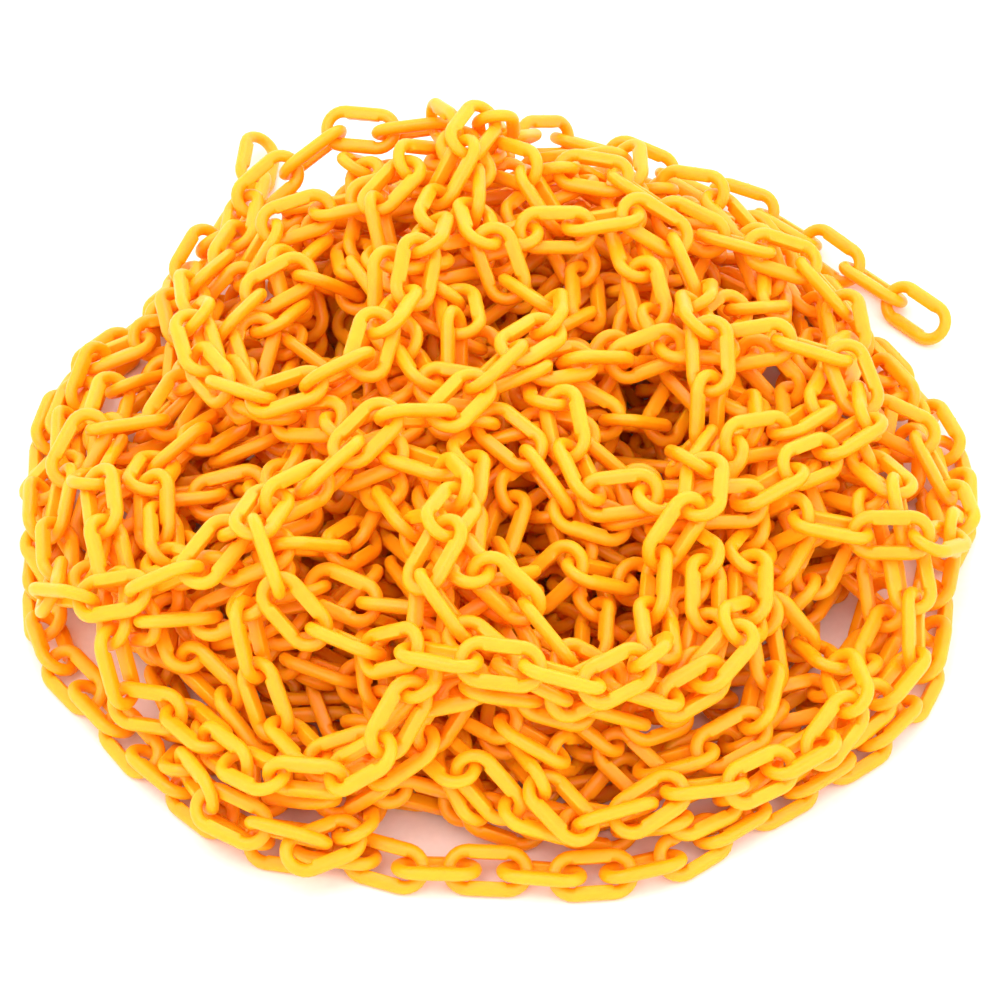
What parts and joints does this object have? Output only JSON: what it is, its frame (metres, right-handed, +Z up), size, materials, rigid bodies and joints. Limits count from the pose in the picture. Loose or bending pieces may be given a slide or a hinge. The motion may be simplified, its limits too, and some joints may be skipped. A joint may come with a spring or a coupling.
{
  "type": "plastic barrier chain",
  "caption": "Loose heap of one long plastic barrier chain, oblong interlocked links, lying on the floor.",
  "frame": {"origin": "middle of the heap's box, on the floor it lies on", "axes": "+Z up, +X to the right and -Y to the front of the heap"},
  "size_m": [0.429, 0.4608, 0.1196],
  "materials": {
    "chain_plastic": "satin moulded polyethylene, yellow-orange"
  },
  "bodies": {
    "heap": {"chain_run_01": "chain_plastic", "chain_run_02": "chain_plastic", "chain_run_03": "chain_plastic", "chain_run_04": "chain_plastic", "chain_run_05": "chain_plastic", "chain_run_06": "chain_plastic", "chain_run_07": "chain_plastic", "chain_run_08": "chain_plastic", "chain_run_09": "chain_plastic", "chain_run_10": "chain_plastic", "chain_run_11": "chain_plastic", "chain_run_12": "chain_plastic", "chain_run_13": "chain_plastic", "chain_run_14": "chain_plastic", "chain_run_15": "chain_plastic", "chain_run_16": "chain_plastic", "chain_run_17": "chain_plastic", "chain_run_18": "chain_plastic", "chain_run_19": "chain_plastic", "chain_run_20": "chain_plastic", "chain_run_21": "chain_plastic", "chain_run_22": "chain_plastic", "chain_run_23": "chain_plastic", "chain_run_24": "chain_plastic", "chain_run_25": "chain_plastic", "chain_run_26": "chain_plastic", "chain_run_27": "chain_plastic", "chain_run_28": "chain_plastic", "chain_run_29": "chain_plastic", "chain_run_30": "chain_plastic", "chain_run_31": "chain_plastic", "chain_run_32": "chain_plastic", "chain_run_33": "chain_plastic", "chain_run_34": "chain_plastic", "chain_run_35": "chain_plastic", "chain_run_36": "chain_plastic", "chain_run_37": "chain_plastic", "chain_run_38": "chain_plastic", "chain_run_39": "chain_plastic", "chain_run_40": "chain_plastic", "chain_run_41": "chain_plastic", "chain_run_42": "chain_plastic", "chain_run_43": "chain_plastic", "chain_run_44": "chain_plastic", "chain_run_45": "chain_plastic", "chain_run_46": "chain_plastic", "chain_run_47": "chain_plastic", "chain_run_48": "chain_plastic", "chain_run_49": "chain_plastic", "chain_run_50": "chain_plastic"},
    "second_link": {"second_link": "chain_plastic"},
    "first_link": {"first_link": "chain_plastic"},
    "next_to_last_link": {"next_to_last_link": "chain_plastic"},
    "last_link": {"last_link": "chain_plastic"}
  },
  "joints": [
    {"name": "second_link_swing", "type": "hinge", "parent": "heap", "child": "second_link", "pos_m": [-0.11948, 0.17497, 0.0074], "axis": [0.7995, -0.3214, -0.5075], "range_deg": [0, 14]},
    {"name": "first_link_swing", "type": "hinge", "parent": "second_link", "child": "first_link", "pos_m": [-0.11646, 0.20107, 0.00797], "axis": [0.7839, -0.1164, 0.6099], "range_deg": [0, 28]},
    {"name": "next_to_last_link_swing", "type": "hinge", "parent": "heap", "child": "next_to_last_link", "pos_m": [0.16661, 0.13517, 0.0084], "axis": [0.532, 0.4964, 0.686], "range_deg": [-44, 0]},
    {"name": "last_link_swing", "type": "hinge", "parent": "next_to_last_link", "child": "last_link", "pos_m": [0.18573, 0.11673, 0.00861], "axis": [0.5123, 0.5269, -0.6782], "range_deg": [-56, 0]}
  ]
}
